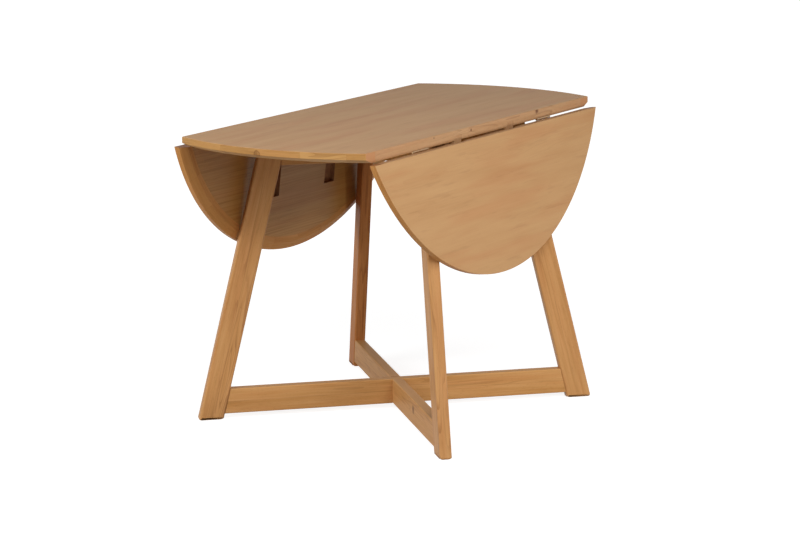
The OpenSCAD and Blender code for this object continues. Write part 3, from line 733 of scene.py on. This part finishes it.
# %% [markdown]
# The edge of a sole is sanded round, so that it doesn't splinter when the table is dragged. The packed
# leg has a small chamfer there, and a bevel can't reach past it. So the chamfer is cut away, and the
# end is closed again by rings that draw in along a quarter circle.

# %% Sanded soles
SOLE_EASE = 7 * MM
SOLE_STEPS = 6
STRAIGHT_ON = math.radians(0.5)


def sanded_sole(node, material):
    """A copy of a leg whose sole has its edge sanded round."""
    built = bmesh.new()
    built.from_mesh(nodes[node].data)
    bmesh.ops.remove_doubles(built, verts=built.verts, dist=WELD)
    bmesh.ops.dissolve_limit(built, angle_limit=STRAIGHT_ON, verts=built.verts, edges=built.edges)
    foot, head = leg_line(node)
    rise = (head - foot) / (head.z - foot.z)
    outwards = Vector((foot.x, foot.y, 0)).normalized()
    sideways = UP.cross(outwards)
    bmesh.ops.delete(built, geom=[v for v in built.verts if v.co.z < foot.z + LEVEL])
    edges = [e for e in built.edges if e.is_boundary]
    rim = {v for e in edges for v in e.verts}
    for v in rim:
        v.co += rise * (foot.z + SOLE_EASE - v.co.z)
    centre = foot + rise * SOLE_EASE
    half_out = max((v.co - centre).dot(outwards) for v in rim)
    half_side = max((v.co - centre).dot(sideways) for v in rim)
    share_out = share_side = 1
    for i in range(1, SOLE_STEPS + 1):
        turn = math.pi / 2 * i / SOLE_STEPS
        drawn_in = SOLE_EASE * (1 - math.cos(turn))
        lower = foot + rise * SOLE_EASE * (1 - math.sin(turn))
        less_out, less_side = 1 - drawn_in / half_out, 1 - drawn_in / half_side
        made = bmesh.ops.extrude_edge_only(built, edges=edges)["geom"]
        edges = [part for part in made if isinstance(part, bmesh.types.BMEdge)]
        for v in (part for part in made if isinstance(part, bmesh.types.BMVert)):
            away = v.co - centre
            v.co = (lower + outwards * away.dot(outwards) * less_out / share_out
                    + sideways * away.dot(sideways) * less_side / share_side)
        centre, share_out, share_side = lower, less_out, less_side
    bmesh.ops.contextual_create(built, geom=edges)
    bmesh.ops.recalc_face_normals(built, faces=built.faces)
    mesh = bpy.data.meshes.new(node + "_sanded")
    built.to_mesh(mesh)
    built.free()
    mesh.materials.append(material)
    leg = soft_edged(node + "_sanded", mesh)
    stand_for(leg, node)
    return leg


print("soles rounded by", round(SOLE_EASE / MM, 1), "mm")

# %% [markdown]
# The far left leg has its timber painted darker and redder, painted shade for the deep shade it
# stands in under the top, and it has two knots. The stretchers and rails have their upward faces
# painted paler, a painted light on their shaded tops, and one stretcher has a knot. The rails under
# the top are of the same stock.

# %% Legs
LEG_STRIP = 34 * MM
LEG_STRIP_SHIFT = 2 * MM
FAR_LEG_KNOTS = ((Vector((0.262, 0.268, 0.395)), 13 * MM, 0.3),
                 (Vector((0.268, 0.274, 0.345)), 9 * MM, 0.3))
for i, leg in enumerate(("leg_near_left", "leg_near_right", "leg_far_left", "leg_far_right")):
    # The far left leg takes the darker, redder timber, which is painted shade, and two knots.
    shaded_far_leg = leg == "leg_far_left"
    sole, head = leg_line(leg)
    axes = along(sole, head, Vector((sole.x, sole.y, 0)))
    timber = wood("clear lacquered leg timber " + leg, SHADED_LEG_TIMBER if shaded_far_leg else SOLID, axes, seed=i,
                  cells={"width": LEG_STRIP, "offset": (NO_JOINT / 2, LEG_STRIP_SHIFT)},
                  knots=FAR_LEG_KNOTS if shaded_far_leg else ())
    sanded = sanded_sole(leg, timber)
    print(leg, len(sanded.data.polygons), "faces, sole at", [round(c, 3) for c in sole])

# %% Stretchers and rails
BAR_STRIP = 32 * MM
BAR_KNOTS = ((Vector((-0.176, -0.160, 0.055)), 14 * MM, 0.2),)
diagonal = leg_line("leg_far_right")[0]
for i, (bar, turned) in enumerate({"stretcher_over": 1, "stretcher_under": -1, "top_rail_over": 1,
                                   "top_rail_under": -1}.items()):
    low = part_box(bar)[0].z
    axes = along(Vector((0, 0, low)), Vector((diagonal.x, turned * diagonal.y, low)), UP)
    dress(bar, wood("clear lacquered bar timber " + bar, BAR, axes, seed=5 + i,
                    cells={"width": BAR_STRIP, "offset": (NO_JOINT / 2, 0)}, knots=BAR_KNOTS))
    print(bar, "at", round(low, 3), "m")

# %% [markdown]
# The panel and leaves are fibreboard between two veneers, with solid timber all round. The board's
# own face shows only where the channels for the supports are routed through the backing. It is made
# from ground fibres pressed flat, so it has no grain: a fine mottle in a reddish brown. Its felt is
# drawn about 1 mm wide, coarser than the real fibres, so that it shows at all.

# %% Fibreboard
FELT_PER_METRE = 900.0
MOTTLE_PER_METRE = 60.0
FELT_RELIEF = 0.2 * MM


def fibreboard(name):
    """Routed medium-density fibreboard, seen from close by as a fine even felt."""
    material, tree = new_material(name)
    where = add(tree, "ShaderNodeTexCoord").outputs["Object"]
    felt = add(tree, "ShaderNodeTexNoise",
               inputs={"Vector": where, "Scale": FELT_PER_METRE, "Detail": 3.0})
    mottle = add(tree, "ShaderNodeTexNoise",
                 inputs={"Vector": where, "Scale": MOTTLE_PER_METRE, "Detail": 3.0})
    both = add(tree, "ShaderNodeMath", {"operation": "ADD"},
               {0: felt.outputs["Fac"], 1: mottle.outputs["Fac"]})
    mean = add(tree, "ShaderNodeMath", {"operation": "MULTIPLY"}, {0: both, 1: 0.5})
    ramp = add(tree, "ShaderNodeValToRGB", inputs={"Fac": mean})
    stops = ramp.color_ramp.elements
    stops[0].position, stops[0].color = 0.3, linear("#a87850")
    stops[1].position, stops[1].color = 0.7, linear("#805439")
    relief = add(tree, "ShaderNodeBump",
                 inputs={"Height": felt.outputs["Fac"], "Strength": 0.4, "Distance": FELT_RELIEF})
    surface = add(tree, "ShaderNodeBsdfPrincipled",
                  inputs={"Base Color": ramp.outputs["Color"], "Roughness": 0.9, "Normal": relief,
                          "Specular IOR Level": 0.2})
    add(tree, "ShaderNodeOutputMaterial", inputs={"Surface": surface})
    return material


core = fibreboard("routed fibreboard")
print(core.name, "has", len(core.node_tree.nodes), "nodes")

# %% Boards
LIPPING_PIECE = 0.42
LIPPING_SHIFT = 0.075
LIPPING_KNOTS = ((Vector((0.264, -0.264, 0.757)), 10 * MM, 0.1),
                 (Vector((-0.064, -0.264, 0.752)), 4.5 * MM, 0.1),
                 (Vector((-0.238, -0.264, 0.756)), 3.5 * MM, 0.1))
board_axes = {"panel": Matrix(), "left_leaf": hanging("left_leaf"), "right_leaf": hanging("right_leaf")}
for i, (board, axes) in enumerate(board_axes.items()):
    dress(board + "_veneer", wood("clear lacquered face veneer " + board, FACE, axes, seed=21 + i))
    dress(board + "_backing",
          wood("clear lacquered backing veneer " + board, BACKING_WITH_PAINTED_SHADE, axes, seed=25 + i))
    dress(board + "_core", core)
    lippings = [node for node in nodes if node.startswith(board + "_lipping")]
    for j, lipping in enumerate(sorted(lippings)):
        dress(lipping, wood("clear lacquered lipping timber " + lipping, LIPPING, axes,
                            seed=31 + 4 * i + j,
                            cells={"length": LIPPING_PIECE, "offset": (LIPPING_SHIFT, NO_JOINT / 2)},
                            knots=LIPPING_KNOTS if lipping == "panel_lipping_right" else ()))
    print(board, "dressed, lippings:", len(lippings))

# %% [markdown]
# The supports, guides and pegs are of the same timber, but waxed and not lacquered, so that they
# slide without sticking. Wax leaves a duller surface and hardly darkens the cut ends. The dowels are
# bare inside their joints, and the same look does for them.

# %% Supports, pegs and dowels
WAXED = {**LIPPING, "ends": 0.1, "roughness": 0.62, "specular": 0.18}
across = Matrix.Rotation(math.pi / 2, 4, "Z")
upright = Matrix.Rotation(-math.pi / 2, 4, "Y")
for i, node in enumerate(sorted(nodes)):
    if node.startswith("support_slide") or node.startswith("support_guide"):
        dress(node, wood("waxed support timber " + node, WAXED, across, seed=40 + i))
dress("support_stop_pegs", wood("waxed peg timber", WAXED, upright, seed=38))
for node in ("stretcher_dowels", "rail_dowels"):
    dress(node, wood("bare dowel timber " + node, WAXED, seed=39))
print("supports and dowels dressed")

# %% [markdown]
# The hinges are stamped from mild steel strip, rolled round a pin and zinc-plated. Plating is bright
# but not a mirror: the strip's rolling marks stay under it, and the zinc grows tiny crystals that
# break up the shine. A clear passivation gives it a warm, yellowish tint, uneven in hazy patches.

# %% Steel
CRYSTALS_PER_METRE = 700.0
HAZE_PER_METRE = 45.0
PLATE_ROUGHNESS = 0.33
ROLLED_ROUGHER = 0.22
CRYSTAL_RELIEF = 0.1 * MM


def zinc_plate(name, grain):
    """Zinc-plated steel. grain holds the rolling marks per metre along X, Y and Z."""
    material, tree = new_material(name)
    where = add(tree, "ShaderNodeTexCoord").outputs["Object"]
    rolled = add(tree, "ShaderNodeMapping", inputs={"Vector": where, "Scale": grain})
    rolled = add(tree, "ShaderNodeTexNoise", inputs={"Vector": rolled, "Scale": 1.0, "Detail": 3.0})
    spangle = add(tree, "ShaderNodeTexVoronoi", inputs={"Vector": where, "Scale": CRYSTALS_PER_METRE})
    hazy = add(tree, "ShaderNodeTexNoise", inputs={"Vector": where, "Scale": HAZE_PER_METRE})
    tint = add(tree, "ShaderNodeMix", {"data_type": "RGBA"},
               {"Factor": hazy.outputs["Fac"], "A": linear("#c2a582"), "B": linear("#ab8a66")})
    gloss = add(tree, "ShaderNodeMath", {"operation": "MULTIPLY_ADD"},
                {0: rolled.outputs["Fac"], 1: ROLLED_ROUGHER, 2: PLATE_ROUGHNESS})
    relief = add(tree, "ShaderNodeBump", inputs={"Height": spangle.outputs["Distance"],
                                                 "Strength": 0.08, "Distance": CRYSTAL_RELIEF})
    surface = add(tree, "ShaderNodeBsdfPrincipled",
                  inputs={"Base Color": tint.outputs["Result"], "Metallic": 1.0, "Roughness": gloss,
                          "Normal": relief})
    add(tree, "ShaderNodeOutputMaterial", inputs={"Surface": surface})
    return material


strip_steel = zinc_plate("zinc-plated hinge steel", (60, 1500, 1500))
pin_steel = zinc_plate("turned steel pin", (1500, 200, 200))
screw_steel = zinc_plate("zinc-plated screw steel", (300, 300, 300))
for node in nodes:
    if node.startswith("hinge_plate"):
        dress(node, strip_steel)
    elif node.startswith("hinge_pin"):
        dress(node, pin_steel)
print("hinges dressed")

# %% [markdown]
# A wood screw has a slotted or cross-cut head, a plain core and a thread wound round it. Modelling
# each one by hand would be tedious and would go wrong, so one tree builds a screw from named sizes and
# sets a copy of it on every point that it is given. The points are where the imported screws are.

# %% Tree that sets screws
HEAD_SIDES = 32
CORE_SIDES = 16
STEPS_PER_TURN = 12
RIDGE_SIDES = 3
TIP_RADIUS = 0.3 * MM
THREAD_TIP_RADIUS = 0.5 * MM
screw_tree, given = node_group("screws", {
    "Face Radius": "NodeSocketFloat", "Seat Radius": "NodeSocketFloat", "Head Height": "NodeSocketFloat",
    "Core Radius": "NodeSocketFloat", "Length": "NodeSocketFloat", "Thread Height": "NodeSocketFloat",
    "Turns": "NodeSocketFloat", "Slot Length": "NodeSocketVector", "Slot Across": "NodeSocketVector",
    "Material": "NodeSocketMaterial"})
head = add(screw_tree, "GeometryNodeMeshCone", inputs={
    "Vertices": HEAD_SIDES, "Radius Bottom": given.outputs["Face Radius"],
    "Radius Top": given.outputs["Seat Radius"], "Depth": given.outputs["Head Height"]})
cross = add(screw_tree, "GeometryNodeMeshBoolean", {"operation": "UNION"})
for key in ("Slot Length", "Slot Across"):
    slot = add(screw_tree, "GeometryNodeMeshCube", inputs={"Size": given.outputs[key]})
    screw_tree.links.new(slot.outputs[0], cross.inputs["Mesh 2"])
head = add(screw_tree, "GeometryNodeMeshBoolean", {"operation": "DIFFERENCE"},
           {"Mesh 1": head, "Mesh 2": cross})
core_length = add(screw_tree, "ShaderNodeMath", {"operation": "SUBTRACT"},
                  {0: given.outputs["Length"], 1: given.outputs["Head Height"]})
shank = add(screw_tree, "GeometryNodeMeshCone", inputs={
    "Vertices": CORE_SIDES, "Radius Bottom": given.outputs["Core Radius"], "Radius Top": TIP_RADIUS,
    "Depth": core_length})
thread = add(screw_tree, "GeometryNodeCurveSpiral", inputs={
    "Resolution": STEPS_PER_TURN, "Rotations": given.outputs["Turns"],
    "Start Radius": given.outputs["Core Radius"], "End Radius": THREAD_TIP_RADIUS,
    "Height": core_length})
ridge = add(screw_tree, "GeometryNodeCurvePrimitiveCircle",
            inputs={"Resolution": RIDGE_SIDES, "Radius": given.outputs["Thread Height"]})
thread = add(screw_tree, "GeometryNodeCurveToMesh",
             inputs={"Curve": thread, "Profile Curve": ridge, "Fill Caps": True})
seat = add(screw_tree, "ShaderNodeCombineXYZ", inputs={"Z": given.outputs["Head Height"]})
body = add(screw_tree, "GeometryNodeJoinGeometry")
screw_tree.links.new(shank.outputs[0], body.inputs[0])
screw_tree.links.new(thread.outputs[0], body.inputs[0])
body = add(screw_tree, "GeometryNodeTransform", inputs={"Geometry": body, "Translation": seat})
screw = add(screw_tree, "GeometryNodeJoinGeometry")
screw_tree.links.new(head.outputs[0], screw.inputs[0])
screw_tree.links.new(body.outputs[0], screw.inputs[0])
copies = add(screw_tree, "GeometryNodeInstanceOnPoints",
             inputs={"Points": given.outputs["Geometry"], "Instance": screw})
end_tree(screw_tree, given, copies)
print(len(screw_tree.nodes), "nodes in the screws' tree")

# %% Screws
def screw_heads(node, axes):
    """The place, the length and the head's radius of each of a node's screws. The place is the middle
    of the head's outer face, in the axes of the board that the screw holds to."""
    merged = bmesh.new()
    merged.from_mesh(nodes[node].data)
    merged.transform(axes.inverted())
    bmesh.ops.remove_doubles(merged, verts=merged.verts, dist=WELD)
    waiting, heads = set(merged.verts), []
    while waiting:
        island, edge = set(), [min(waiting, key=lambda v: v.index)]
        while edge:
            vert = edge.pop()
            if vert not in island:
                island.add(vert)
                edge += [e.other_vert(vert) for e in vert.link_edges]
        waiting -= island
        low = [min(v.co[k] for v in island) for k in range(3)]
        high = [max(v.co[k] for v in island) for k in range(3)]
        heads.append(((low[0] + high[0]) / 2, (low[1] + high[1]) / 2, low[2], high[2] - low[2],
                      (high[0] - low[0]) / 2))
    merged.free()
    return sorted(heads)


COUNTERSUNK = {"Seat Radius": 1.4 * MM, "Head Height": 1.7 * MM, "Core Radius": 1.15 * MM,
               "Thread Height": 0.45 * MM, "Turns": 9.0, "Slot Length": (3.4 * MM, 0.7 * MM, 1.8 * MM),
               "Slot Across": (0.7 * MM, 3.4 * MM, 1.8 * MM)}
PAN_HEAD = {"Seat Radius": 4.9 * MM, "Head Height": 2.9 * MM, "Core Radius": 1.7 * MM,
            "Thread Height": 0.5 * MM, "Turns": 14.0, "Slot Length": (5.2 * MM, 1.1 * MM, 3 * MM),
            "Slot Across": (1.1 * MM, 5.2 * MM, 3 * MM)}
PAN_FACE_SHARE = 0.8
for node, axes in {"hinge_screws_panel": Matrix(), "guide_screws": Matrix(), "frame_screws": Matrix(),
                   "hinge_screws_left_leaf": hanging("left_leaf"),
                   "hinge_screws_right_leaf": hanging("right_leaf")}.items():
    heads = screw_heads(node, axes)
    pan = node == "frame_screws"
    points = bpy.data.meshes.new(node + " places")
    points.from_pydata([place[:3] for place in heads], [], [])
    length, face = heads[0][3:]
    screws = grown(node + "_threaded", points, screw_tree, {
        **(PAN_HEAD if pan else COUNTERSUNK), "Length": length,
        "Face Radius": face * PAN_FACE_SHARE if pan else face, "Material": screw_steel}, axes)
    stand_for(screws, node)
    print(node, len(heads), "screws,", round(length / MM, 1), "mm long, head radius",
          round(face / MM, 2))
